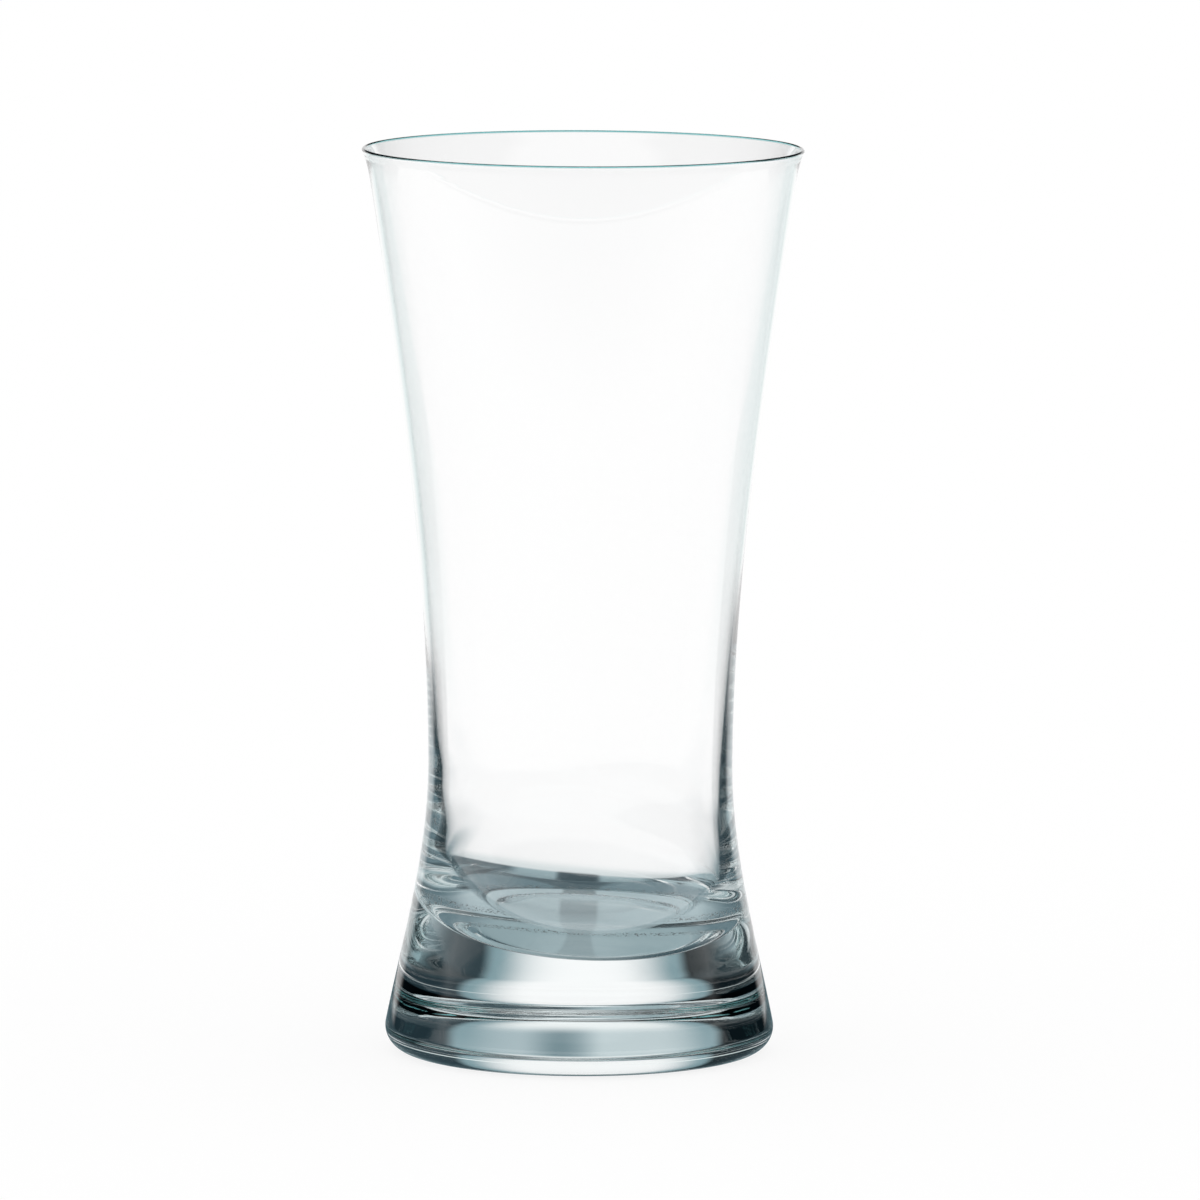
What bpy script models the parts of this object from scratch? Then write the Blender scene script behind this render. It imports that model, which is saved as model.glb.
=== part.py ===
"""Highball glass: a thin flared bowl fused to a heavy solid foot.

Units are metres, +Z is up, and the origin is the centre of the ring that the glass stands on.
Both pieces are turned shapes: a half profile swept once round the Z axis.
"""

import math

import bpy
import bmesh

# Outside of the glass
OVERALL_HEIGHT = 0.1600
RIM_DIAMETER = 0.0764
RIM_FLARE_SLOPE = 0.147
WAIST_DIAMETER = 0.0538
WAIST_HEIGHT = 0.0507
FOOT_DIAMETER = 0.0686
FOOT_FLARE_SLOPE = 0.204
FOOT_EDGE_HEIGHT = 0.0050
HEEL_RADIUS = 0.0042

# Fire-polished lip, which swells a little beyond the flare of the wall
LIP_SWELL = 0.0009
LIP_LENGTH = 0.0022
LIP_EDGE_HEIGHT = 0.0008

# Inside of the bowl: its wall thickens from the lip down to the rounded edge of the floor
WALL_AT_LIP = 0.0010
WALL_AT_FLOOR = 0.0042
WALL_GROWTH = 5.4
BOWL_FLOOR_THICKNESS = 0.0049
FLOOR_FLAT_RADIUS = 0.0110
FLOOR_ROUNDING_HEIGHT = 0.0170

# Solid foot, the seam where the bowl is fused on top of it, and the hollow underneath
FOOT_THICKNESS = 0.0128
SEAM_GAP = 0.0003
HOLLOW_RADIUS = 0.0235
HOLLOW_DEPTH = 0.0005

# Fineness of the turned surfaces
TURN_STEPS = 64
WALL_POINTS = 28
WALL_CROWDING = 1.5
CAVITY_POINTS = 16
ROUNDING_POINTS = 9
LIP_POINTS = 7
HEEL_POINTS = 7
HOLLOW_POINTS = 5

# Soda-lime glass: clear, with a faint blue-green cast
GLASS_COLOUR = (0.86, 0.93, 0.93, 1.0)
GLASS_ROUGHNESS = 0.02
GLASS_IOR = 1.52


def clear_scene():
    """Remove every object that the file opens with."""
    for item in list(bpy.data.objects):
        bpy.data.objects.remove(item, do_unlink=True)


def hermite(share, start, end, start_slope, end_slope):
    """Cubic through two values with the given slopes, for a share of 0 to 1."""
    square = share * share
    cube = square * share
    return (
        (2.0 * cube - 3.0 * square + 1.0) * start
        + (cube - 2.0 * square + share) * start_slope
        + (3.0 * square - 2.0 * cube) * end
        + (cube - square) * end_slope
    )


def flare_radius(height):
    """Outside radius of the plain wall: flared above the waist, and flared again towards the foot."""
    waist_radius = WAIST_DIAMETER / 2.0
    if height >= WAIST_HEIGHT:
        rise = OVERALL_HEIGHT - WAIST_HEIGHT
        share = (height - WAIST_HEIGHT) / rise
        return hermite(share, waist_radius, RIM_DIAMETER / 2.0, 0.0, RIM_FLARE_SLOPE * rise)
    drop = WAIST_HEIGHT - FOOT_EDGE_HEIGHT
    share = (WAIST_HEIGHT - height) / drop
    return hermite(share, waist_radius, FOOT_DIAMETER / 2.0, 0.0, FOOT_FLARE_SLOPE * drop)


def outer_radius(height):
    """Outside radius of the wall with the swell of its lip."""
    return flare_radius(height) + LIP_SWELL * math.exp((height - OVERALL_HEIGHT) / LIP_LENGTH)


def floor_height():
    """Height of the bowl's floor above the table."""
    return FOOT_THICKNESS + SEAM_GAP + BOWL_FLOOR_THICKNESS


def rounding_top():
    """Height at which the rounded edge of the floor runs into the wall."""
    return floor_height() + FLOOR_ROUNDING_HEIGHT


def cavity_radius(height):
    """Inside radius of the wall, from the top of the floor's rounding up to the rim."""
    share = (OVERALL_HEIGHT - height) / (OVERALL_HEIGHT - rounding_top())
    wall = WALL_AT_LIP + (WALL_AT_FLOOR - WALL_AT_LIP) * share ** WALL_GROWTH
    return flare_radius(height) - wall


def heights_between(start, end, count, crowding=1.0):
    """Heights from start to end, both included; a crowding over 1 draws them towards the start."""
    return [start + (end - start) * (step / (count - 1)) ** crowding for step in range(count)]


def lip_profile():
    """Half-round lip, from the inside of the mouth over the top to the outside of the wall."""
    height = OVERALL_HEIGHT - LIP_EDGE_HEIGHT
    outside = outer_radius(height)
    inside = cavity_radius(height)
    middle = (outside + inside) / 2.0
    half_wall = (outside - inside) / 2.0
    points = []
    for step in range(1, LIP_POINTS + 1):
        angle = math.pi * (1.0 - step / (LIP_POINTS + 1))
        points.append((middle + half_wall * math.cos(angle), height + LIP_EDGE_HEIGHT * math.sin(angle)))
    return points


def cavity_profile():
    """Inside of the bowl: up from the middle of the floor, round its edge and up the wall."""
    floor = floor_height()
    points = [(0.0, floor), (FLOOR_FLAT_RADIUS, floor)]
    reach = cavity_radius(rounding_top()) - FLOOR_FLAT_RADIUS
    for step in range(1, ROUNDING_POINTS + 1):
        angle = math.pi / 2.0 * step / ROUNDING_POINTS
        radius = FLOOR_FLAT_RADIUS + reach * math.sin(angle)
        points.append((radius, floor + FLOOR_ROUNDING_HEIGHT * (1.0 - math.cos(angle))))
    wall_end = OVERALL_HEIGHT - LIP_EDGE_HEIGHT
    for height in heights_between(rounding_top(), wall_end, CAVITY_POINTS)[1:]:
        points.append((cavity_radius(height), height))
    return points


def bowl_profile():
    """Closed half section of the bowl: floor, wall, lip, outside and the flat face at the seam."""
    seam_face = FOOT_THICKNESS + SEAM_GAP
    wall_top = OVERALL_HEIGHT - LIP_EDGE_HEIGHT
    outside = []
    for height in heights_between(wall_top, seam_face, WALL_POINTS, WALL_CROWDING):
        outside.append((outer_radius(height), height))
    return cavity_profile() + lip_profile() + outside + [(0.0, seam_face)]


def heel_profile():
    """Rounded heel: a fillet that leaves the flared side and ends flat on the standing ring."""
    lean = math.atan(FOOT_FLARE_SLOPE)
    top = HEEL_RADIUS * (1.0 + math.sin(lean))
    centre = outer_radius(top) - HEEL_RADIUS * math.cos(lean)
    points = []
    for step in range(HEEL_POINTS + 1):
        angle = lean - (lean + math.pi / 2.0) * step / HEEL_POINTS
        points.append((centre + HEEL_RADIUS * math.cos(angle), HEEL_RADIUS * (1.0 + math.sin(angle))))
    return points


def foot_profile():
    """Closed half section of the foot: seam face, flared side, heel, standing ring and hollow."""
    points = [(0.0, FOOT_THICKNESS), (outer_radius(FOOT_THICKNESS), FOOT_THICKNESS)]
    points += heel_profile()
    for step in range(HOLLOW_POINTS + 1):
        share = 1.0 - step / HOLLOW_POINTS
        points.append((HOLLOW_RADIUS * share, HOLLOW_DEPTH * (1.0 - share * share)))
    return points


def glass_material(name):
    """Clear polished glass."""
    material = bpy.data.materials.new(name)
    material.use_nodes = True
    material.diffuse_color = GLASS_COLOUR
    shader = material.node_tree.nodes["Principled BSDF"]
    shader.inputs["Base Color"].default_value = GLASS_COLOUR
    shader.inputs["Metallic"].default_value = 0.0
    shader.inputs["Roughness"].default_value = GLASS_ROUGHNESS
    shader.inputs["IOR"].default_value = GLASS_IOR
    shader.inputs["Transmission Weight"].default_value = 1.0
    return material


def turned_piece(name, profile, collection):
    """Sweep a half section once round the Z axis and dress it as polished glass."""
    mesh = bpy.data.meshes.new(name)
    section = bmesh.new()
    corners = [section.verts.new((radius, 0.0, height)) for radius, height in profile]
    for first, second in zip(corners, corners[1:]):
        section.edges.new((first, second))
    section.to_mesh(mesh)
    section.free()
    piece = bpy.data.objects.new(name, mesh)
    collection.objects.link(piece)
    screw = piece.modifiers.new("turn", "SCREW")
    screw.axis = "Z"
    screw.angle = 2.0 * math.pi
    screw.screw_offset = 0.0
    screw.steps = TURN_STEPS
    screw.render_steps = TURN_STEPS
    screw.use_merge_vertices = True
    screw.merge_threshold = 0.00001
    screw.use_smooth_shade = True
    mesh.materials.append(glass_material(name + "_glass"))
    return piece


def build():
    """Make the bowl and the foot in a collection of their own."""
    clear_scene()
    collection = bpy.data.collections.new("highball_glass")
    bpy.context.scene.collection.children.link(collection)
    turned_piece("bowl", bowl_profile(), collection)
    turned_piece("foot", foot_profile(), collection)


build()
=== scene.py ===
"""Looks of a clear highball glass: thin flared bowl, narrow waist and heavy solid foot.

The glass is one continuous turned mesh, because a real one is fused and shows no seam. It stands for the
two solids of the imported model. Units are metres, +Z is up, and the origin is the middle of the ring it
stands on.
"""

import logging
import math
from dataclasses import dataclass, field
from enum import Enum
from typing import Any

import bmesh
import bpy
from mathutils import Euler, Matrix


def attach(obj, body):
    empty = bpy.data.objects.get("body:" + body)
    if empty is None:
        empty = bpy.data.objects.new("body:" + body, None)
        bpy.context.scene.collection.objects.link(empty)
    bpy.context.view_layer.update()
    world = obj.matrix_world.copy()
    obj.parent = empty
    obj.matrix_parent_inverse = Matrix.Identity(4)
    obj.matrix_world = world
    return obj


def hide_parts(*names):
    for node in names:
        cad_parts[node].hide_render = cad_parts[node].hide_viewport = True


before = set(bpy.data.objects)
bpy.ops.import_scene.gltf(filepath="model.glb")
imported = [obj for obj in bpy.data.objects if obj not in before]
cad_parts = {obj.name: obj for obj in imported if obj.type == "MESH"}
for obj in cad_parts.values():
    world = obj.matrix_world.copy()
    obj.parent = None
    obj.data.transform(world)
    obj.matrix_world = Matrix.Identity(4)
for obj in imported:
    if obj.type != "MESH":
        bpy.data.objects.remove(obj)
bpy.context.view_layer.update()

LOG = logging.getLogger("highball_glass")
# Thick glass mirrors a ray many times over before it lets it out.
MOST_BOUNCES = 32
MOST_MIRRORED = 28
MOST_CROSSED = 24

Limits = tuple[float, float]
Sum = tuple[Any, ...]


class Op(Enum):
    """What a sum does with its terms: Blender's own operations, and a few named for what they mean here.

    ALL is the product of its terms, ANY the largest of them and NOT takes its term from 1. EDGE runs softly
    from 0 to 1 between two numbers, TURN does so between two angles in degrees, and MIX blends two colours.
    """

    ALL = "MULTIPLY"
    ANY = "MAXIMUM"
    NOT = "SUBTRACT from 1"
    EDGE = "SMOOTHSTEP"
    TURN = "SMOOTHSTEP by degrees"
    MIX = "RGBA"
    ABSOLUTE = "ABSOLUTE"
    ADD = "ADD"
    ARCSINE = "ARCSINE"
    ARCTAN2 = "ARCTAN2"
    DIVIDE = "DIVIDE"
    GREATER_THAN = "GREATER_THAN"
    LESS_THAN = "LESS_THAN"
    MULTIPLY_ADD = "MULTIPLY_ADD"
    POWER = "POWER"
    SQRT = "SQRT"
    SUBTRACT = "SUBTRACT"


def linear(hex_colour: str) -> tuple[float, float, float, float]:
    """Turn an sRGB hex colour into the linear one that shaders take.

    Args:
        hex_colour: six hex digits with a leading hash.

    Returns:
        Red, green, blue and an alpha of 1.
    """
    parts = [int(hex_colour[at:at + 2], 16) / 255.0 for at in (1, 3, 5)]
    red, green, blue = (
        part / 12.92 if part <= 0.04045 else ((part + 0.055) / 1.055) ** 2.4 for part in parts
    )
    return red, green, blue, 1.0


def add_node(
    tree: bpy.types.NodeTree,
    kind: str,
    settings: dict[str, Any] | None = None,
    values: dict[Any, Any] | None = None,
    links: dict[Any, bpy.types.NodeSocket] | None = None,
) -> bpy.types.Node:
    """Add a node, set it up and link its inputs.

    Args:
        tree: tree that gets the node.
        kind: Blender's name for the kind of node.
        settings: properties of the node itself.
        values: constant values by input name or number.
        links: output sockets to link, by input name or number.

    Returns:
        The new node.
    """
    node = tree.nodes.new(kind)
    for name, value in (settings or {}).items():
        setattr(node, name, value)
    for name, value in (values or {}).items():
        node.inputs[name].default_value = value
    for name, socket in (links or {}).items():
        tree.links.new(socket, node.inputs[name])
    return node


def work_out(
    tree: bpy.types.NodeTree,
    known: dict[str, bpy.types.NodeSocket],
    sums: tuple[Sum, ...],
) -> None:
    """Wire up a list of sums, each of which may use the ones before it.

    Args:
        tree: tree that gets the nodes.
        known: outputs by name; every sum adds its own.
        sums: name, operation and terms; a term is a number, a hex colour or the name of an output.
    """
    for name, operation, *terms in sums:
        parts: list[Any] = []
        for term in terms:
            is_colour = isinstance(term, str) and term not in known
            parts.append(linear(term) if is_colour else known.get(term, term))
        kind, settings = "ShaderNodeMath", {"operation": operation.value}
        inputs, output, at_once = (0, 1, 2), 0, len(parts)
        if operation in (Op.ALL, Op.ANY):
            at_once = 2
        elif operation is Op.NOT:
            settings, parts, at_once = {"operation": "SUBTRACT"}, [1.0, *parts], 2
        elif operation is Op.MIX:
            kind, settings, inputs, output = "ShaderNodeMix", {"data_type": "RGBA"}, (0, 6, 7), 2
        elif operation in (Op.EDGE, Op.TURN):
            kind, settings = "ShaderNodeMapRange", {"interpolation_type": "SMOOTHSTEP"}
        if operation is Op.TURN:
            parts = [parts[0], *(math.radians(angle) for angle in parts[1:])]
        while parts:
            batch = dict(zip(inputs, parts[:at_once]))
            links = {at: part for at, part in batch.items() if isinstance(part, bpy.types.NodeSocket)}
            values = {at: part for at, part in batch.items() if at not in links}
            known[name] = add_node(tree, kind, settings, values, links).outputs[output]
            parts = [known[name], *parts[at_once:]] if parts[at_once:] else []


def ray_facts(tree: bpy.types.NodeTree) -> dict[str, bpy.types.NodeSocket]:
    """Work out what a ray has been through since it left the camera.

    Args:
        tree: tree that gets the nodes.

    Returns:
        Outputs by name: solid for glass crossed once, bowl for both its walls, outside for what the outer
        face mirrors, and whether the ray was mirrored ever, once or often.
    """
    path = add_node(tree, "ShaderNodeLightPath")
    known = {
        "camera": path.outputs["Is Camera Ray"],
        "glossy": path.outputs["Is Glossy Ray"],
        "refracted": path.outputs["Is Transmission Ray"],
        "crossed": path.outputs["Transmission Depth"],
        "bounced": path.outputs["Glossy Depth"],
    }
    # Limits lie between whole counts: two faces crossed means solid glass, and four the thin bowl.
    work_out(tree, known, (
        ("outer", Op.LESS_THAN, "crossed", 0.5),
        ("entered", Op.GREATER_THAN, "crossed", 1.5),
        ("bowl", Op.GREATER_THAN, "crossed", 3.5),
        ("before_bowl", Op.NOT, "bowl"),
        ("solid", Op.ALL, "entered", "before_bowl"),
        ("outside", Op.ALL, "outer", "glossy"),
        ("ever", Op.GREATER_THAN, "bounced", 0.5),
        ("often", Op.GREATER_THAN, "bounced", 1.5),
        ("once", Op.SUBTRACT, "ever", "often"),
    ))
    return known


def hermite(share: float, start: float, end: float, start_slope: float, end_slope: float) -> float:
    """Cubic through two values with given slopes.

    Args:
        share: place along the stretch, 0 to 1.
        start: value at 0.
        end: value at 1.
        start_slope: slope at 0.
        end_slope: slope at 1.

    Returns:
        The value at that place.
    """
    square = share * share
    cube = square * share
    return (
        (2.0 * cube - 3.0 * square + 1.0) * start
        + (cube - 2.0 * square + share) * start_slope
        + (3.0 * square - 2.0 * cube) * end
        + (cube - square) * end_slope
    )


@dataclass(frozen=True)
class SodaLimeGlass:
    """Soda-lime glass, blown and fire-polished: clear and smooth, with a blue-green cast where thick."""

    name: str = "soda_lime_glass_fire_polished"
    cast: str = "#ffffff"
    # Painted tint of the lip, standing in for light seen through the thick wall.
    painted_lip_tint: str = "#4aa6a8"
    lip_edge: Limits = (0.15952, 0.15985)
    ior: float = 1.52
    depth_colour: str = "#8fd2d2"
    depth_density: float = 1.0
    polish: float = 0.0
    ring_roughness: float = 0.04
    ring_scuffs: float = 0.26
    ring_haze: float = 0.05
    ring_grind: float = 0.75
    ring_edge: Limits = (0.0275, 0.0290)
    ring_height: float = 0.00008
    grit: float = 0.0012
    grit_detail: float = 2.0
    grit_roughness: float = 0.6
    grit_edge: Limits = (0.50, 0.60)

    def make(self) -> bpy.types.Material:
        """Make the material.

        Returns:
            Glass that absorbs a little red along its depth, ground dull in spots on the ring it stands on,
            and painted blue-green on the lip.
        """
        material = bpy.data.materials.new(self.name)
        material.use_nodes = True
        tree = material.node_tree
        tree.nodes.clear()
        place = add_node(tree, "ShaderNodeTexCoord")
        split = add_node(tree, "ShaderNodeSeparateXYZ", links={0: place.outputs["Object"]})
        flat = add_node(tree, "ShaderNodeCombineXYZ", links={0: split.outputs[0], 1: split.outputs[1]})
        radius = add_node(tree, "ShaderNodeVectorMath", {"operation": "LENGTH"}, links={0: flat.outputs[0]})
        scuffs = add_node(
            tree, "ShaderNodeTexNoise", None,
            {"Scale": 1.0 / self.grit, "Detail": self.grit_detail, "Roughness": self.grit_roughness},
            {"Vector": place.outputs["Object"]},
        )
        known = {"radius": radius.outputs["Value"], "height": split.outputs[2], "scuffs": scuffs.outputs[0]}
        work_out(tree, known, (
            # The ring that the glass slides on gathers scuffs too fine to show. They are drawn as coarse as
            # the speckled line that they give.
            ("outer", Op.EDGE, "radius", *self.ring_edge),
            ("low", Op.LESS_THAN, "height", self.ring_height),
            ("ring", Op.ALL, "outer", "low"),
            ("patchy", Op.EDGE, "scuffs", *self.grit_edge),
            ("worn", Op.MULTIPLY_ADD, "patchy", self.ring_scuffs, self.ring_roughness),
            ("rough", Op.MULTIPLY_ADD, "ring", "worn", self.polish),
            ("ground", Op.MULTIPLY_ADD, "patchy", -self.ring_grind, -self.ring_haze),
            ("clear", Op.MULTIPLY_ADD, "ring", "ground", 1.0),
            # The lip is painted blue-green: painted light standing in for the light that runs up inside the
            # wall and shows there in the colour of thick glass.
            ("lip", Op.EDGE, "height", *self.lip_edge),
            ("hue", Op.MIX, "lip", self.cast, self.painted_lip_tint),
        ))
        shader = add_node(
            tree, "ShaderNodeBsdfPrincipled", None, {"IOR": self.ior, "Metallic": 0.0},
            {"Base Color": known["hue"], "Roughness": known["rough"], "Transmission Weight": known["clear"]},
        )
        depth = add_node(
            tree, "ShaderNodeVolumeAbsorption", None,
            {"Color": linear(self.depth_colour), "Density": self.depth_density},
        )
        add_node(
            tree, "ShaderNodeOutputMaterial", None, None,
            {"Surface": shader.outputs[0], "Volume": depth.outputs[0]},
        )
        return material


@dataclass(frozen=True)
class PaperOnClearTable:
    """Matt white paper seen past a clear table top: even and without gloss, with painted shade and shadow
    close round the foot.

    Lengths are in metres from the middle of the foot and angles in degrees from straight behind it. Each
    pair of limits says where a tone starts and where it is full.
    """

    name: str = "matt_white_paper"
    colour: str = "#ffffff"
    lit_share: float = 0.85
    # Painted tones of shade and shadow, shown only to what comes through or off the glass.
    under: str = "#abbdc2"
    under_once: str = "#96abb0"
    under_foot: float = 0.0375
    depth: str = "#6a8189"
    depth_edge: Limits = (0.0290, 0.0420)
    light_from: float = 0.0200
    fringe: str = "#dfe7e8"
    fringe_edge: Limits = (0.0650, 0.0520)
    shadow: str = "#465c64"
    shadow_pale: str = "#9bb2b8"
    shadow_edge: Limits = (0.0520, 0.0480)
    shadow_tilt: float = 0.25
    pale_from: Limits = (0.0030, 0.0050)
    pale_to: Limits = (0.0145, 0.0110)
    painted_dark_strip: str = "#2a383f"
    dark_strip_left: float = 0.0018
    dark_strip_edge: Limits = (0.0046, 0.0034)
    dark_strip_ends: Limits = (0.0530, 0.0490)
    dark_strip_back: Limits = (0.0040, 0.0180)
    dark_strip_least: float = 0.224
    dark_strip_more: float = 0.336
    dim: str = "#7d969d"
    dim_left: float = 0.008
    dim_before: float = 0.030
    dim_from: Limits = (18.0, 37.0)
    dim_to: Limits = (62.0, 46.0)
    dim_near: Limits = (0.21, 0.12)
    shade_edge: Limits = (-0.0265, -0.0500)
    shade_near: Limits = (0.115, 0.080)
    shade_back: Limits = (0.030, 0.048)
    cast: str = "#d3e6e5"
    cast_turn: Limits = (7.0, 28.0)
    cast_far: Limits = (0.32, 0.55)
    reach: Limits = (0.32, 0.24)
    reach_once: Limits = (0.70, 0.20)
    front_slope: float = 0.6
    off_foot: Limits = (0.10, 0.16)
    contact: str = "#1b272c"
    contact_outside: str = "#5d747c"
    contact_edge: Limits = (0.0455, 0.0425)
    contact_width: Limits = (0.0095, 0.0055)
    contact_reach: Limits = (0.12, 0.08)
    other_sides: Limits = (22.0, 34.0)
    by_foot: Limits = (0.095, 0.075)
    thrown: str = "#4d626a"
    thrown_side: Limits = (-0.02, 0.02)

    def sums(self) -> tuple[Sum, ...]:
        """List what decides how clear the paper is and which tone it has, by where a ray meets it.

        Returns:
            Sums for the material's tree.
        """
        return (
            ("lit", Op.ALL, "camera", self.lit_share),
            ("middle", Op.ABSOLUTE, "x"),
            ("direct", Op.NOT, "ever"),
            ("direct_solid", Op.ALL, "direct", "solid"),
            # Painted shade under the foot: what is mirrored inside the glass ends there, where light comes
            # from the front only.
            ("near", Op.LESS_THAN, "away", self.under_foot),
            ("off_near", Op.NOT, "near"),
            ("under_once", Op.ALL, "solid", "once", "near"),
            ("from_front", Op.ADD, "y", self.light_from),
            ("x_square", Op.ALL, "x", "x"),
            ("deep_square", Op.MULTIPLY_ADD, "from_front", "from_front", "x_square"),
            ("deep", Op.SQRT, "deep_square"),
            ("deep_part", Op.EDGE, "deep", *self.depth_edge),
            ("depth", Op.ALL, "deep_part", "near", "ever"),
            # Solid glass looks through the table some way round it, and further behind if mirrored once.
            ("behind", Op.GREATER_THAN, "y", 0.0),
            ("reach_once", Op.EDGE, "away", *self.reach_once),
            ("reach_more", Op.ALL, "reach_once", "once", "behind"),
            ("reach_plain", Op.EDGE, "away", *self.reach),
            ("reach", Op.ANY, "reach_plain", "reach_more"),
            # What the wall mirrors once in front of the glass is paper, and so is the painted dark contact
            # line behind it.
            ("abreast", Op.ALL, "middle", self.front_slope),
            ("front", Op.LESS_THAN, "y", "abreast"),
            ("off_foot", Op.EDGE, "away", *self.off_foot),
            ("shut", Op.ALL, "front", "off_foot", "once"),
            ("contact_middle", Op.EDGE, "middle", *self.contact_width),
            ("contact_near", Op.EDGE, "away", *self.contact_edge),
            ("contact_line", Op.ALL, "contact_near", "contact_middle", "direct_solid"),
            # Seen from its other sides, the foot looks onto light paper close behind it.
            ("round", Op.ARCTAN2, "middle", "y"),
            ("off_back", Op.TURN, "round", *self.other_sides),
            ("by_foot", Op.EDGE, "away", *self.by_foot),
            ("light", Op.ALL, "off_back", "by_foot", "direct_solid"),
            ("off_contact", Op.NOT, "contact_near"),
            ("lit_back", Op.ALL, "off_back", "off_contact"),
            ("dark_back", Op.NOT, "lit_back"),
            # Painted contact shadow close behind the foot, seen through the solid glass.
            ("close_by", Op.EDGE, "away", *self.contact_reach),
            ("contact", Op.ALL, "close_by", "direct_solid", "dark_back"),
            ("closed", Op.ANY, "shut", "contact_line", "light"),
            ("opened", Op.NOT, "closed"),
            ("through_glass", Op.ALL, "solid", "off_near", "reach", "opened"),
            # The outside mirrors the room round the table, and close to the foot the table's shade.
            ("outside_through", Op.ALL, "outside", "off_foot"),
            ("through", Op.ANY, "through_glass", "outside_through"),
            ("shown", Op.ANY, "refracted", "outside"),
            # Light thrown about by the far wall of the bowl ends in the dark on one side.
            ("one_side", Op.EDGE, "x", *self.thrown_side),
            ("thrown", Op.ALL, "bowl", "often", "one_side"),
            # The shadow round the foot ends on a soft fringe and a firm edge, further out on the left.
            ("right", Op.ANY, "x", 0.0),
            ("drawn_in", Op.MULTIPLY_ADD, "right", self.shadow_tilt, "away"),
            ("edge", Op.MULTIPLY_ADD, "x", self.shadow_tilt, "drawn_in"),
            ("fringe", Op.EDGE, "edge", *self.fringe_edge),
            ("shadow", Op.EDGE, "edge", *self.shadow_edge),
            # A painted darker strip runs from front to back through the painted shadow, with paler painted
            # shadow on each side.
            ("beside", Op.ADD, "x", self.dark_strip_left),
            ("aside", Op.ABSOLUTE, "beside"),
            ("off_dark_strip", Op.EDGE, "aside", *self.pale_from),
            ("off_side", Op.EDGE, "aside", *self.pale_to),
            ("pale", Op.ALL, "off_dark_strip", "off_side"),
            ("dark_strip_line", Op.EDGE, "aside", *self.dark_strip_edge),
            ("dark_strip_ends", Op.EDGE, "edge", *self.dark_strip_ends),
            ("dark_strip_back", Op.EDGE, "y", *self.dark_strip_back),
            ("dark_strip_weight", Op.MULTIPLY_ADD, "dark_strip_back", self.dark_strip_more, self.dark_strip_least),
            ("painted_dark_strip", Op.ALL, "dark_strip_line", "dark_strip_ends", "dark_strip_weight"),
            # The paper is painted a little dimmer to both sides, and far off it is painted with the cast of
            # the wall.
            ("dim_x", Op.ADD, "x", self.dim_left),
            ("dim_aside", Op.ABSOLUTE, "dim_x"),
            ("ahead", Op.ADD, "y", self.dim_before),
            ("turn", Op.ARCTAN2, "dim_aside", "ahead"),
            ("dim_from", Op.TURN, "turn", *self.dim_from),
            ("dim_to", Op.TURN, "turn", *self.dim_to),
            ("dim_near", Op.EDGE, "away", *self.dim_near),
            ("dim_part", Op.ALL, "dim_from", "dim_to", "dim_near"),
            ("shade_left", Op.EDGE, "x", *self.shade_edge),
            ("shade_near", Op.EDGE, "away", *self.shade_near),
            ("shade_back", Op.EDGE, "y", *self.shade_back),
            ("shade", Op.ALL, "shade_left", "shade_near", "shade_back"),
            ("dim", Op.ANY, "dim_part", "shade"),
            ("cast_turn", Op.TURN, "turn", *self.cast_turn),
            ("cast_far", Op.EDGE, "away", *self.cast_far),
            ("cast", Op.ALL, "cast_turn", "cast_far", "dim_to"),
            # Painted tones of shade and shadow, each laid over the ones before it.
            ("shadow_tone", Op.MIX, "pale", self.shadow, self.shadow_pale),
            ("tone", Op.MIX, "fringe", self.colour, self.fringe),
            ("tone", Op.MIX, "dim", "tone", self.dim),
            ("tone", Op.MIX, "cast", "tone", self.cast),
            ("tone", Op.MIX, "shadow", "tone", "shadow_tone"),
            ("tone", Op.MIX, "near", "tone", self.under),
            ("tone", Op.MIX, "under_once", "tone", self.under_once),
            ("tone", Op.MIX, "depth", "tone", self.depth),
            ("tone", Op.MIX, "painted_dark_strip", "tone", self.painted_dark_strip),
            ("tone", Op.MIX, "thrown", "tone", self.thrown),
            ("tone", Op.MIX, "light", "tone", self.colour),
            ("tone", Op.MIX, "contact", "tone", self.contact),
            ("tone", Op.MIX, "outside", "tone", self.contact_outside),
        )

    def make(self) -> bpy.types.Material:
        """Make the material.

        Returns:
            White paper with the painted shade that the bowl looks into, open to what the solid foot looks
            through.
        """
        material = bpy.data.materials.new(self.name)
        material.use_nodes = True
        tree = material.node_tree
        tree.nodes.clear()
        place = add_node(tree, "ShaderNodeTexCoord")
        split = add_node(tree, "ShaderNodeSeparateXYZ", links={0: place.outputs["Object"]})
        away = add_node(
            tree, "ShaderNodeVectorMath", {"operation": "LENGTH"}, links={0: place.outputs["Object"]},
        )
        known = ray_facts(tree)
        known.update({"x": split.outputs[0], "y": split.outputs[1], "away": away.outputs["Value"]})
        work_out(tree, known, self.sums())
        matt = add_node(tree, "ShaderNodeBsdfDiffuse", None, {"Color": linear(self.colour)})
        even = add_node(tree, "ShaderNodeEmission", None, {"Color": linear(self.colour), "Strength": 1.0})
        toned = add_node(tree, "ShaderNodeEmission", None, {"Strength": 1.0}, {"Color": known["tone"]})
        clear = add_node(tree, "ShaderNodeBsdfTransparent")
        surface = matt
        for weight, layer in (("lit", even), ("shown", toned), ("through", clear)):
            surface = add_node(
                tree, "ShaderNodeMixShader", None, None,
                {0: known[weight], 1: surface.outputs[0], 2: layer.outputs[0]},
            )
        add_node(tree, "ShaderNodeOutputMaterial", None, None, {"Surface": surface.outputs[0]})
        return material


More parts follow.
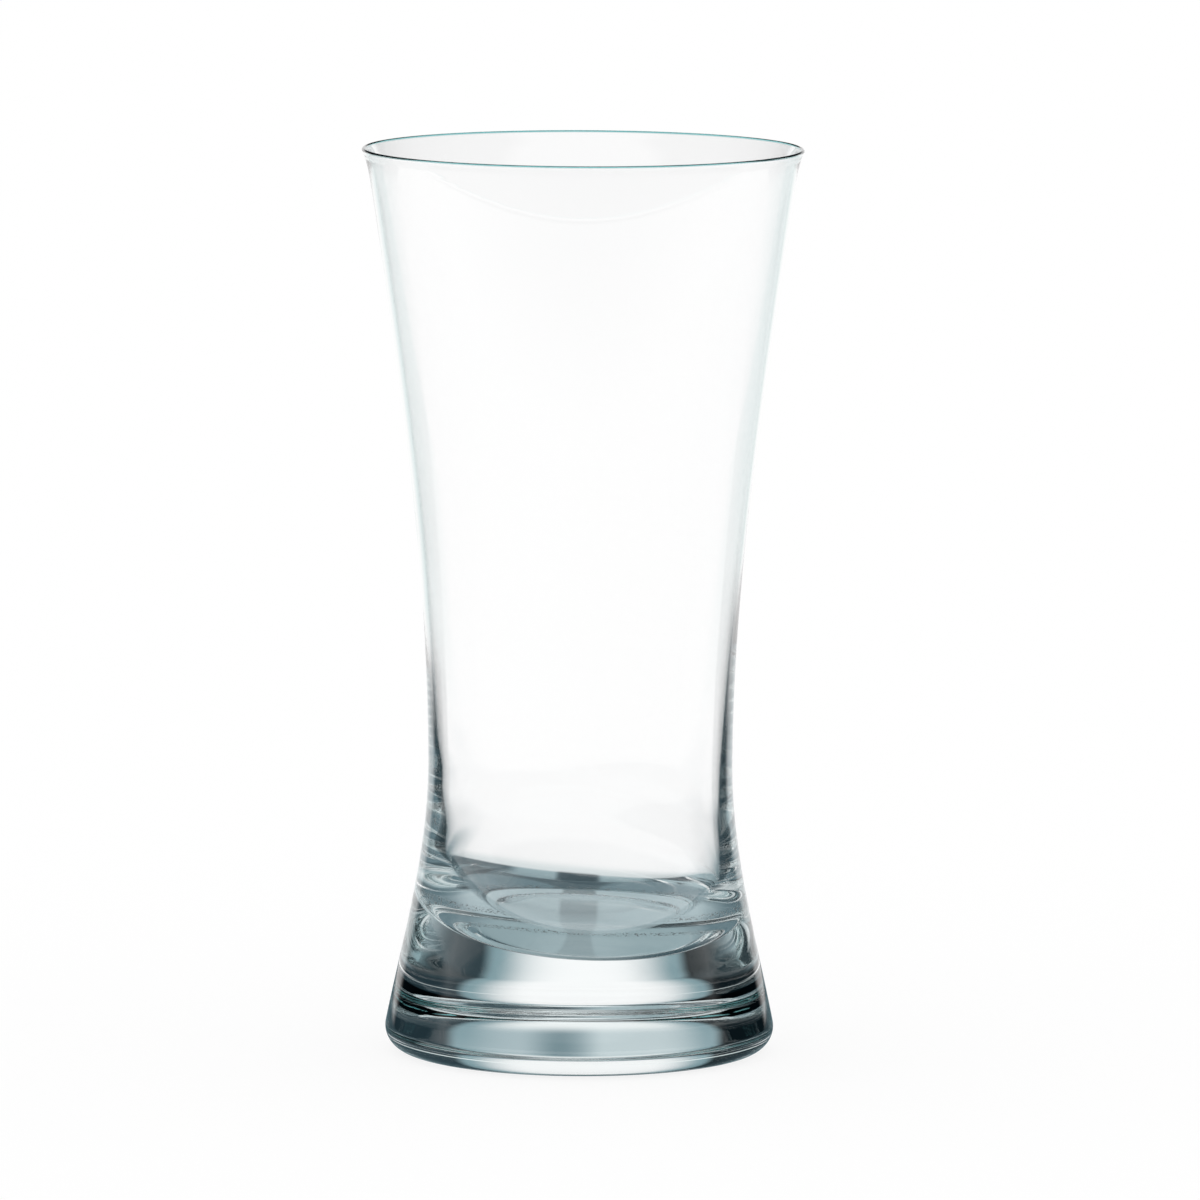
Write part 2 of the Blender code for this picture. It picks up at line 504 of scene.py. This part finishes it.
@dataclass(frozen=True)
class StudioSurround:
    """Even white light, with a soft oval glow on a dark backdrop for the solid glass to bend into view.

    Each pair of limits says where a tone starts and where it is full. The turns of sides, strip and cards
    are in degrees, the edges of glow and halo in shares of the oval, and many, very_many and few count how
    often a ray was mirrored. The others are parts of a direction of length 1: across to the right, along
    away from the camera, and up.
    """

    name: str = "white_room_with_oval_glow"
    white: str = "#ffffff"
    backdrop: str = "#0b1418"
    backdrop_left: str = "#24343b"
    left_side: Limits = (-0.30, 0.50)
    other_side: Limits = (0.35, -0.35)
    above: Limits = (-0.02, 0.05)
    forward: Limits = (0.0, 0.3)
    glow_left: float = 2.0
    glow_turn: float = 24.0
    glow_pitch: float = 30.5
    glow_edge: Limits = (1.32, 0.25)
    halo: str = "#86a1a8"
    halo_edge: Limits = (1.85, 1.30)
    sides: str = "#8fa2a8"
    side_turn: Limits = (36.0, 66.0)
    side_low: Limits = (-0.20, -0.44)
    ceiling: str = "#dfe8e9"
    overhead: Limits = (0.82, 0.94)
    ceiling_thin: str = "#a4b7bc"
    thin_high: Limits = (0.60, 0.80)
    underneath: str = "#a4b7bc"
    below: Limits = (-0.55, -0.72)
    mirror_left: str = "#b0c1c6"
    mirror_right: str = "#c9d6d9"
    mirror_across: Limits = (0.02, -0.10)
    mirror_high: str = "#f4f8f8"
    mirror_rise: Limits = (0.20, 0.48)
    mirror_dim: str = "#7a9198"
    mirror_dim_at: float = 0.065
    mirror_dim_edge: Limits = (0.15, 0.0)
    mirror_widen: float = 0.15
    mirror_flatten: float = 0.60
    return_low: Limits = (0.16, 0.08)
    strip: str = "#0b1a20"
    strip_facing: Limits = (40.0, 28.0)
    strip_low: Limits = (-0.62, -0.46)
    strip_steep: Limits = (-0.12, -0.24)
    scattered: str = "#a4b9be"
    scattered_side: str = "#3f545c"
    scattered_many: str = "#b0c2c6"
    scattered_high: str = "#eff4f5"
    scattered_share: float = 0.90
    behind: Limits = (0.35, -0.15)
    upward: Limits = (0.15, 0.45)
    many: Limits = (3.4, 4.4)
    very_many: Limits = (7.4, 8.6)
    few: Limits = (26.0, 11.0)
    ahead_from: Limits = (0.20, 0.50)
    ahead_low: Limits = (0.45, 0.25)
    ahead_less: float = 0.80
    sideways: Limits = (0.80, 0.93)
    sideways_less: float = 0.60
    high_from: Limits = (0.10, 0.40)
    high_back: Limits = (0.35, 0.0)
    bowl_light: str = "#a9bdc2"
    bowl_dark: str = "#263a42"
    bowl_far_shift: float = 0.30
    bowl_across: Limits = (-0.28, 0.18)
    bowl_up: Limits = (0.12, 0.30)
    bowl_back: Limits = (0.18, 0.02)
    front: str = "#0f1f26"
    card_from: Limits = (28.0, 38.0)
    card_to: Limits = (56.0, 48.0)
    card_low: Limits = (-0.185, -0.150)
    beside_from: Limits = (-0.10, 0.20)
    beside_low: Limits = (-0.10, -0.04)
    high_up: Limits = (0.10, 0.20)
    softbox: str = "#ffffff"
    box_high: Limits = (0.225, 0.260)
    box_back: Limits = (-0.60, -0.80)

    def sums(self) -> tuple[Sum, ...]:
        """List what decides the tone that a ray sees, by where it points and what it has been through.

        Returns:
            Sums for the world's tree.
        """
        return (
            ("aside", Op.ABSOLUTE, "across"),
            ("ahead", Op.ABSOLUTE, "along"),
            ("turn", Op.ARCTAN2, "aside", "ahead"),
            ("heading", Op.ARCTAN2, "aside", "along"),
            ("above", Op.EDGE, "up", *self.above),
            ("down", Op.NOT, "above"),
            ("forward", Op.EDGE, "along", *self.forward),
            ("backward", Op.NOT, "forward"),
            ("left_side", Op.EDGE, "across", *self.left_side),
            ("other_side", Op.EDGE, "across", *self.other_side),
            ("side_turn", Op.TURN, "turn", *self.side_turn),
            ("side_low", Op.EDGE, "up", *self.side_low),
            ("side", Op.ALL, "side_turn", "side_low"),
            ("overhead", Op.EDGE, "up", *self.overhead),
            ("below", Op.EDGE, "up", *self.below),
            # What the underside mirrors is duller, and lighter to one side and higher up.
            ("mirror", Op.ALL, "once", "above"),
            ("mirror_side", Op.EDGE, "across", *self.mirror_across),
            ("mirror_off", Op.SUBTRACT, "across", self.mirror_dim_at),
            ("mirror_near", Op.ABSOLUTE, "mirror_off"),
            ("mirror_dim", Op.EDGE, "mirror_near", *self.mirror_dim_edge),
            ("mirror_high", Op.EDGE, "up", *self.mirror_rise),
            ("mirror_wide", Op.MULTIPLY_ADD, "mirror", -self.mirror_widen, 1.0),
            ("mirror_flat", Op.MULTIPLY_ADD, "mirror", -self.mirror_flatten, 1.0),
            # The glow is an oval round the level line behind the glass.
            ("signed", Op.ARCTAN2, "across", "ahead"),
            ("from_glow", Op.ADD, "signed", math.radians(self.glow_left)),
            ("pitch", Op.ARCSINE, "up"),
            ("turn_share", Op.DIVIDE, "from_glow", math.radians(self.glow_turn)),
            ("pitch_share", Op.DIVIDE, "pitch", math.radians(self.glow_pitch)),
            ("pitch_seen", Op.ALL, "pitch_share", "mirror_flat"),
            ("turn_square", Op.ALL, "turn_share", "turn_share"),
            ("pitch_square", Op.ALL, "pitch_seen", "pitch_seen"),
            ("spread", Op.MULTIPLY_ADD, "pitch_square", "pitch_square", "turn_square"),
            ("spread_seen", Op.ALL, "spread", "mirror_wide"),
            ("halo_all", Op.EDGE, "spread_seen", *self.halo_edge),
            ("halo", Op.ALL, "halo_all", "forward"),
            ("glow_all", Op.EDGE, "spread_seen", *self.glow_edge),
            ("glow", Op.ALL, "glow_all", "forward"),
            # Rays sent back to the camera see white, and those turned down inside the wall end in the dark.
            ("once_back", Op.ALL, "once", "backward"),
            ("return_low", Op.EDGE, "up", *self.return_low),
            ("returned", Op.ALL, "once_back", "above", "return_low"),
            ("facing", Op.TURN, "turn", *self.strip_facing),
            ("level", Op.EDGE, "up", *self.strip_low),
            ("steep", Op.EDGE, "up", *self.strip_steep),
            ("strip", Op.ALL, "once", "down", "facing", "forward", "level", "steep"),
            ("shallow", Op.NOT, "steep"),
            ("wall", Op.ALL, "once", "down", "shallow"),
            # Rays thrown about inside see the dark backdrop ahead, and the light room above and behind.
            ("behind", Op.EDGE, "along", *self.behind),
            ("upward", Op.EDGE, "up", *self.upward),
            ("many", Op.EDGE, "bounced", *self.many),
            ("very_many", Op.EDGE, "bounced", *self.very_many),
            ("few", Op.EDGE, "bounced", *self.few),
            ("ahead_from", Op.EDGE, "along", *self.ahead_from),
            ("ahead_low", Op.EDGE, "up", *self.ahead_low),
            ("level_ahead", Op.ALL, "ahead_from", "ahead_low"),
            ("less_ahead", Op.MULTIPLY_ADD, "level_ahead", -self.ahead_less, 1.0),
            ("lost", Op.ALL, "many", "less_ahead", "few"),
            ("turned_or_lost", Op.ANY, "behind", "upward", "lost"),
            ("sideways", Op.EDGE, "aside", *self.sideways),
            ("less_aside", Op.MULTIPLY_ADD, "sideways", -self.sideways_less, 1.0),
            ("scattered", Op.ALL, "often", "turned_or_lost", "less_aside", self.scattered_share),
            ("high_from", Op.EDGE, "up", *self.high_from),
            ("high_back", Op.EDGE, "along", *self.high_back),
            ("right_ahead", Op.ALL, "other_side", "ahead_from"),
            ("left_or_back", Op.NOT, "right_ahead"),
            ("many_left", Op.ALL, "many", "left_or_back"),
            ("high_many", Op.ANY, "high_back", "many_left"),
            ("scattered_high", Op.ALL, "high_from", "high_many"),
            # Past the bowl, what the far wall throws about is dark from one side and light from the other.
            ("high", Op.EDGE, "up", *self.thin_high),
            ("high_seen", Op.ALL, "high", "refracted"),
            ("bowl_often", Op.ALL, "bowl", "often"),
            ("far", Op.GREATER_THAN, "crossed", 5.5),
            ("bowl_across", Op.MULTIPLY_ADD, "far", self.bowl_far_shift, "across"),
            ("bowl_side", Op.EDGE, "bowl_across", *self.bowl_across),
            ("bowl_up", Op.EDGE, "up", *self.bowl_up),
            ("bowl_back", Op.EDGE, "along", *self.bowl_back),
            ("bowl_returned", Op.ALL, "bowl", "once", "bowl_up", "bowl_back"),
            # Dark cards at both sides and a dark room in front show on the outside of foot and waist.
            ("card_from", Op.TURN, "heading", *self.card_from),
            ("card_to", Op.TURN, "heading", *self.card_to),
            ("card_low", Op.EDGE, "up", *self.card_low),
            ("card", Op.ALL, "card_from", "card_to", "card_low"),
            ("beside_from", Op.EDGE, "along", *self.beside_from),
            ("beside_low", Op.EDGE, "up", *self.beside_low),
            ("beside", Op.ALL, "beside_from", "card_from", "beside_low"),
            ("high_up", Op.EDGE, "up", *self.high_up),
            ("outside_dark", Op.ANY, "card", "beside", "high_up"),
            ("outside_front", Op.ALL, "outside_dark", "outside"),
            ("not_returned", Op.NOT, "returned"),
            ("once_away", Op.ALL, "once_back", "not_returned"),
            ("once_over", Op.ALL, "once", "overhead"),
            ("once_dark", Op.ANY, "once_away", "once_over"),
            ("once_front", Op.ALL, "once_dark", "solid"),
            ("front", Op.ANY, "outside_front", "once_front"),
            # A soft box behind the camera shows in the middle of the foot only.
            ("box_high", Op.EDGE, "up", *self.box_high),
            ("box_back", Op.EDGE, "along", *self.box_back),
            ("softbox", Op.ALL, "box_high", "box_back", "outside"),
            # Tones, each laid over the ones before it.
            ("mirror_tone", Op.MIX, "mirror_side", self.mirror_left, self.mirror_right),
            ("mirror_tone", Op.MIX, "mirror_dim", "mirror_tone", self.mirror_dim),
            ("mirror_tone", Op.MIX, "mirror_high", "mirror_tone", self.mirror_high),
            ("glow_tone", Op.MIX, "mirror", self.white, "mirror_tone"),
            ("below_tone", Op.MIX, "ever", self.white, self.underneath),
            ("scattered_tone", Op.MIX, "other_side", self.scattered, self.scattered_side),
            ("scattered_tone", Op.MIX, "very_many", "scattered_tone", self.scattered_many),
            ("scattered_tone", Op.MIX, "scattered_high", "scattered_tone", self.scattered_high),
            ("tone", Op.MIX, "left_side", self.backdrop, self.backdrop_left),
            ("tone", Op.MIX, "halo", "tone", self.halo),
            ("tone", Op.MIX, "glow", "tone", "glow_tone"),
            ("tone", Op.MIX, "side", "tone", self.sides),
            ("tone", Op.MIX, "overhead", "tone", self.ceiling),
            ("tone", Op.MIX, "below", "tone", "below_tone"),
            ("tone", Op.MIX, "returned", "tone", self.white),
            ("tone", Op.MIX, "wall", "tone", self.white),
            ("tone", Op.MIX, "strip", "tone", self.strip),
            ("tone", Op.MIX, "scattered", "tone", "scattered_tone"),
            ("bowl_tone", Op.MIX, "bowl_side", self.bowl_light, self.bowl_dark),
            ("thin", Op.MIX, "high_seen", self.white, self.ceiling_thin),
            ("thin", Op.MIX, "bowl_often", "thin", "bowl_tone"),
            ("thin", Op.MIX, "bowl_returned", "thin", self.bowl_dark),
            ("seen", Op.MIX, "solid", "thin", "tone"),
            ("seen", Op.MIX, "front", "seen", self.front),
            ("seen", Op.MIX, "softbox", "seen", self.softbox),
        )

    def make(self) -> bpy.types.World:
        """Make the world.

        Returns:
            White for the camera and through the thin bowl; solid glass sees the glow on its dark backdrop.
        """
        world = bpy.data.worlds.new(self.name)
        world.use_nodes = True
        tree = world.node_tree
        tree.nodes.clear()
        place = add_node(tree, "ShaderNodeTexCoord")
        split = add_node(tree, "ShaderNodeSeparateXYZ", links={0: place.outputs["Generated"]})
        known = ray_facts(tree)
        known.update({"across": split.outputs[0], "along": split.outputs[1], "up": split.outputs[2]})
        work_out(tree, known, self.sums())
        light = add_node(tree, "ShaderNodeBackground", None, {"Strength": 1.0}, {"Color": known["seen"]})
        add_node(tree, "ShaderNodeOutputWorld", None, None, {"Surface": light.outputs[0]})
        return world


@dataclass
class Tumbler:
    """The glass itself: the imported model's outside, with a thinner wall and an uneven floor."""

    height: float = 0.1600
    rim_radius: float = 0.0382
    rim_slope: float = 0.147
    waist_radius: float = 0.0269
    waist_height: float = 0.0507
    foot_radius: float = 0.0343
    foot_slope: float = 0.204
    foot_edge: float = 0.0050
    heel_radius: float = 0.0042
    lip_swell: float = 0.0009
    lip_length: float = 0.0022
    lip_edge: float = 0.0004
    wall_at_lip: float = 0.0008
    wall_at_floor: float = 0.0034
    wall_growth: float = 6.2
    floor_height: float = 0.0180
    floor_flat: float = 0.0110
    rounding: float = 0.0170
    hollow_radius: float = 0.0270
    hollow_depth: float = 0.0002
    lean_right: float = 0.06
    lean_back: float = 0.06
    rounding_rise: float = 0.0020
    rounding_dip: float = 0.0020
    dip_power: float = 3.0
    wall_offset: float = 0.0004
    offset_knots: tuple[tuple[float, float], ...] = (
        (0.036, 1.0), (0.046, 0.0), (0.054, -0.6), (0.066, -0.6), (0.090, 0.0),
    )
    floor_steps: int = 12
    rounding_steps: int = 44
    wall_steps: int = 90
    lip_steps: int = 16
    outside_steps: int = 110
    outside_crowding: float = 1.15
    heel_steps: int = 24
    hollow_steps: int = 16
    steps: int = 256
    axis_radius: float = 0.000002
    merge_distance: float = 0.000006
    finish: SodaLimeGlass = field(default_factory=SodaLimeGlass)

    def flare(self, height: float) -> float:
        """Outside radius of the plain wall.

        Args:
            height: height above the table.

        Returns:
            The radius there.
        """
        if height >= self.waist_height:
            rise = self.height - self.waist_height
            share = (height - self.waist_height) / rise
            return hermite(share, self.waist_radius, self.rim_radius, 0.0, self.rim_slope * rise)
        drop = self.waist_height - self.foot_edge
        share = (self.waist_height - height) / drop
        return hermite(share, self.waist_radius, self.foot_radius, 0.0, self.foot_slope * drop)

    def outside(self, height: float) -> float:
        """Outside radius with the swell of the lip."""
        return self.flare(height) + self.lip_swell * math.exp((height - self.height) / self.lip_length)

    def inside(self, height: float) -> float:
        """Inside radius above the floor's rounding.

        Args:
            height: height above the table.

        Returns:
            The radius there.
        """
        start = self.floor_height + self.rounding
        share = (self.height - height) / (self.height - start)
        wall = self.wall_at_lip + (self.wall_at_floor - self.wall_at_lip) * share ** self.wall_growth
        return self.outside(height) - wall

    def offset_share(self, height: float) -> float:
        """Share of the wall's offset: thicker on the left low down, thicker on the right above the waist.

        Args:
            height: height above the table.

        Returns:
            The share there, from -1 to 1.
        """
        knots = self.offset_knots
        if height <= knots[0][0]:
            return knots[0][1]
        for (low, before), (high, after) in zip(knots, knots[1:]):
            if height <= high:
                share = (height - low) / (high - low)
                return before + (after - before) * share * share * (3.0 - 2.0 * share)
        return 0.0

    def section(self) -> list[tuple[float, float, float, float, float]]:
        """Half section of the glass from the middle of its floor to the middle of its underside.

        Returns:
            For each point: radius, height, and how far the floor's lean, the rise of its rounding and the
            offset of the wall act on it.
        """
        points: list[tuple[float, float, float, float, float]] = []
        floor, top = self.floor_height, self.floor_height + self.rounding
        for step in range(self.floor_steps + 1):
            points.append((self.floor_flat * step / self.floor_steps, floor, 1.0, 0.0, 0.0))
        reach = self.inside(top) - self.floor_flat
        for step in range(1, self.rounding_steps + 1):
            angle = math.pi / 2.0 * step / self.rounding_steps
            climb = 1.0 - math.cos(angle)
            radius = self.floor_flat + reach * math.sin(angle)
            points.append((radius, floor + self.rounding * climb, 1.0 - climb, climb, climb))
        end = self.height - self.lip_edge
        for step in range(1, self.wall_steps + 1):
            share = step / self.wall_steps
            height = top + (end - top) * share
            points.append((self.inside(height), height, 0.0, 1.0 - share, self.offset_share(height)))
        outer, inner = self.outside(end), self.inside(end)
        for step in range(1, self.lip_steps):
            angle = math.pi * (1.0 - step / self.lip_steps)
            points.append((
                (outer + inner) / 2.0 + (outer - inner) / 2.0 * math.cos(angle),
                end + self.lip_edge * math.sin(angle), 0.0, 0.0, 0.0,
            ))
        lean = math.atan(self.foot_slope)
        heel_top = self.heel_radius * (1.0 + math.sin(lean))
        for step in range(self.outside_steps + 1):
            height = end + (heel_top - end) * (step / self.outside_steps) ** self.outside_crowding
            points.append((self.outside(height), height, 0.0, 0.0, 0.0))
        middle = self.outside(heel_top) - self.heel_radius * math.cos(lean)
        for step in range(1, self.heel_steps + 1):
            angle = lean - (lean + math.pi / 2.0) * step / self.heel_steps
            points.append((
                middle + self.heel_radius * math.cos(angle),
                self.heel_radius * (1.0 + math.sin(angle)), 0.0, 0.0, 0.0,
            ))
        for step in range(self.hollow_steps + 1):
            share = 1.0 - step / self.hollow_steps
            height = self.hollow_depth * (1.0 - share * share)
            points.append((self.hollow_radius * share, height, 0.0, 0.0, 0.0))
        return points

    def tree(self) -> bpy.types.NodeTree:
        """Build the tree that turns a half section round the axis.

        Returns:
            A geometry tree with named inputs for its sizes.
        """
        tree = bpy.data.node_groups.new("turned_glass", "GeometryNodeTree")
        tree.interface.new_socket("Geometry", in_out="INPUT", socket_type="NodeSocketGeometry")
        size_names = (
            "Axis Radius", "Lean Right", "Lean Back", "Rounding Rise", "Rounding Dip", "Wall Offset",
            "Merge Distance",
        )
        for name in size_names:
            tree.interface.new_socket(name, in_out="INPUT", socket_type="NodeSocketFloat")
        tree.interface.new_socket("Steps", in_out="INPUT", socket_type="NodeSocketInt")
        tree.interface.new_socket("Glass", in_out="INPUT", socket_type="NodeSocketMaterial")
        tree.interface.new_socket("Geometry", in_out="OUTPUT", socket_type="NodeSocketGeometry")
        sizes = add_node(tree, "NodeGroupInput")
        line = add_node(tree, "GeometryNodeMeshToCurve", links={0: sizes.outputs["Geometry"]})
        circle = add_node(
            tree, "GeometryNodeCurvePrimitiveCircle", None, None,
            {"Resolution": sizes.outputs["Steps"], "Radius": sizes.outputs["Axis Radius"]},
        )
        swept = add_node(
            tree, "GeometryNodeCurveToMesh", None, None,
            {"Curve": circle.outputs[0], "Profile Curve": line.outputs[0]},
        )
        place = add_node(tree, "GeometryNodeInputPosition")
        split = add_node(tree, "ShaderNodeSeparateXYZ", links={0: place.outputs[0]})
        flat = add_node(tree, "ShaderNodeCombineXYZ", links={0: split.outputs[0], 1: split.outputs[1]})
        away = add_node(tree, "ShaderNodeVectorMath", {"operation": "NORMALIZE"}, links={0: flat.outputs[0]})
        turn = add_node(tree, "ShaderNodeSeparateXYZ", links={0: away.outputs[0]})
        known = {name: sizes.outputs[name] for name in size_names}
        known.update({"x": split.outputs[0], "y": split.outputs[1], "east": turn.outputs[0]})
        for name in ("lean", "rise", "offset"):
            share = add_node(tree, "GeometryNodeInputNamedAttribute", {"data_type": "FLOAT"}, {"Name": name})
            known[name] = share.outputs[0]
        work_out(tree, known, (
            # The floor leans, its rounding starts lower on the right, and the wall is thicker on one side.
            ("right", Op.ALL, "x", "Lean Right"),
            ("back", Op.ALL, "y", "Lean Back"),
            ("tip", Op.SUBTRACT, "back", "right"),
            ("tipped", Op.ALL, "tip", "lean"),
            ("risen", Op.ALL, "east", "Rounding Rise"),
            ("rightmost", Op.ANY, "east", 0.0),
            ("late", Op.POWER, "rightmost", self.dip_power),
            ("dipped", Op.MULTIPLY_ADD, "late", "Rounding Dip", "risen"),
            ("sunk", Op.ALL, "dipped", "rise"),
            ("lift", Op.SUBTRACT, "tipped", "sunk"),
            ("outwards", Op.ALL, "east", "Wall Offset", "offset"),
        ))
        sideways = add_node(
            tree, "ShaderNodeVectorMath", {"operation": "SCALE"}, None,
            {0: away.outputs[0], "Scale": known["outwards"]},
        )
        upwards = add_node(tree, "ShaderNodeCombineXYZ", links={2: known["lift"]})
        move = add_node(
            tree, "ShaderNodeVectorMath", {"operation": "ADD"}, None,
            {0: sideways.outputs[0], 1: upwards.outputs[0]},
        )
        shaped = add_node(
            tree, "GeometryNodeSetPosition", None, None,
            {"Geometry": swept.outputs[0], "Offset": move.outputs[0]},
        )
        closed = add_node(
            tree, "GeometryNodeMergeByDistance", None, None,
            {"Geometry": shaped.outputs[0], "Distance": sizes.outputs["Merge Distance"]},
        )
        smooth = add_node(tree, "GeometryNodeSetShadeSmooth", links={"Geometry": closed.outputs[0]})
        real = add_node(tree, "GeometryNodeRealizeInstances", links={"Geometry": smooth.outputs[0]})
        dressed = add_node(
            tree, "GeometryNodeSetMaterial", None, None,
            {"Geometry": real.outputs[0], "Material": sizes.outputs["Glass"]},
        )
        add_node(tree, "NodeGroupOutput", links={0: dressed.outputs[0]})
        return tree

    def build(self) -> bpy.types.Object:
        """Turn the section into the finished glass.

        Returns:
            The glass as a plain closed mesh at the origin.
        """
        rows = self.section()
        mesh = bpy.data.meshes.new("glass_section")
        # A sweep along the circle carries the section's second axis downwards, so heights go in negated.
        mesh.from_pydata(
            [(row[0], -row[1], 0.0) for row in rows], [(at, at + 1) for at in range(len(rows) - 1)], [],
        )
        for at, name in enumerate(("lean", "rise", "offset"), start=2):
            layer = mesh.attributes.new(name, "FLOAT", "POINT")
            layer.data.foreach_set("value", [row[at] for row in rows])
        turned = bpy.data.objects.new("glass_section", mesh)
        bpy.context.scene.collection.objects.link(turned)
        tree = self.tree()
        modifier = turned.modifiers.new("turn", "NODES")
        modifier.node_group = tree
        values = {
            "Axis Radius": self.axis_radius,
            "Lean Right": self.lean_right,
            "Lean Back": self.lean_back,
            "Rounding Rise": self.rounding_rise,
            "Rounding Dip": self.rounding_dip,
            "Wall Offset": self.wall_offset,
            "Merge Distance": self.merge_distance,
            "Steps": self.steps,
            "Glass": self.finish.make(),
        }
        for socket in tree.interface.items_tree:
            if socket.in_out == "INPUT" and socket.name in values:
                modifier[socket.identifier] = values[socket.name]
        depsgraph = bpy.context.evaluated_depsgraph_get()
        made = bpy.data.meshes.new_from_object(turned.evaluated_get(depsgraph))
        turned.modifiers.remove(modifier)
        bpy.data.objects.remove(turned, do_unlink=True)
        made.name = "glass"
        shell = bmesh.new()
        shell.from_mesh(made)
        bmesh.ops.recalc_face_normals(shell, faces=shell.faces)
        shell.to_mesh(made)
        shell.free()
        glass = bpy.data.objects.new("glass", made)
        bpy.context.scene.collection.objects.link(glass)
        return glass

    def place(self) -> bpy.types.Object:
        """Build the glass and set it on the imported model.

        Returns:
            The glass, which stands for both solids.
        """
        glass = self.build()
        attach(glass, "root")
        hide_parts("bowl", "foot")
        return glass


@dataclass
class Stage:
    """White paper under a clear table, and the light round it."""

    paper_size: float = 30.0
    paper_drop: float = 0.0002
    paper: PaperOnClearTable = field(default_factory=PaperOnClearTable)
    surround: StudioSurround = field(default_factory=StudioSurround)

    def build(self) -> bpy.types.Object:
        """Lay the paper and light the stage.

        Returns:
            The paper.
        """
        half = self.paper_size / 2.0
        signs = ((-1.0, -1.0), (1.0, -1.0), (1.0, 1.0), (-1.0, 1.0))
        corners = [(half * x, half * y, -self.paper_drop) for x, y in signs]
        mesh = bpy.data.meshes.new("paper_sweep")
        mesh.from_pydata(corners, [], [(0, 1, 2, 3)])
        mesh.materials.append(self.paper.make())
        paper = bpy.data.objects.new("paper_sweep", mesh)
        bpy.context.scene.collection.objects.link(paper)
        bpy.context.scene.world = self.surround.make()
        return paper


@dataclass
class Viewpoint:
    """Long lens, a little above the rim, as in a catalogue picture."""

    distance: float = 1.916
    height: float = 0.3185
    lens: float = 328.2
    sensor: float = 36.0
    pitch: float = 7.095
    yaw: float = 0.0995
    roll: float = 0.274
    clip_start: float = 0.1
    clip_end: float = 100.0

    def build(self) -> bpy.types.Object:
        """Set up the camera.

        Returns:
            The camera, made the scene's own.
        """
        data = bpy.data.cameras.new("catalogue_camera")
        data.lens = self.lens
        data.sensor_width = self.sensor
        data.clip_start = self.clip_start
        data.clip_end = self.clip_end
        camera = bpy.data.objects.new("catalogue_camera", data)
        bpy.context.scene.collection.objects.link(camera)
        aim = Euler((math.radians(90.0 - self.pitch), 0.0, math.radians(-self.yaw))).to_matrix()
        camera.matrix_world = (
            Matrix.Translation((0.0, -self.distance, self.height))
            @ aim.to_4x4()
            @ Matrix.Rotation(math.radians(self.roll), 4, "Z")
        )
        bpy.context.scene.camera = camera
        return camera


def main() -> None:
    """Build the stage, the camera and the glass, and write down how large the glass came out."""
    logging.basicConfig(level=logging.INFO, format="%(name)s: %(message)s")
    scene = bpy.context.scene
    scene.view_settings.view_transform = "Standard"
    scene.cycles.max_bounces = MOST_BOUNCES
    scene.cycles.glossy_bounces = MOST_MIRRORED
    scene.cycles.transmission_bounces = MOST_CROSSED
    Stage().build()
    LOG.info("stage: paper and light")
    Viewpoint().build()
    LOG.info("camera")
    glass = Tumbler().place()
    LOG.info("glass: %d faces", len(glass.data.polygons))


if __name__ == "__main__":
    main()
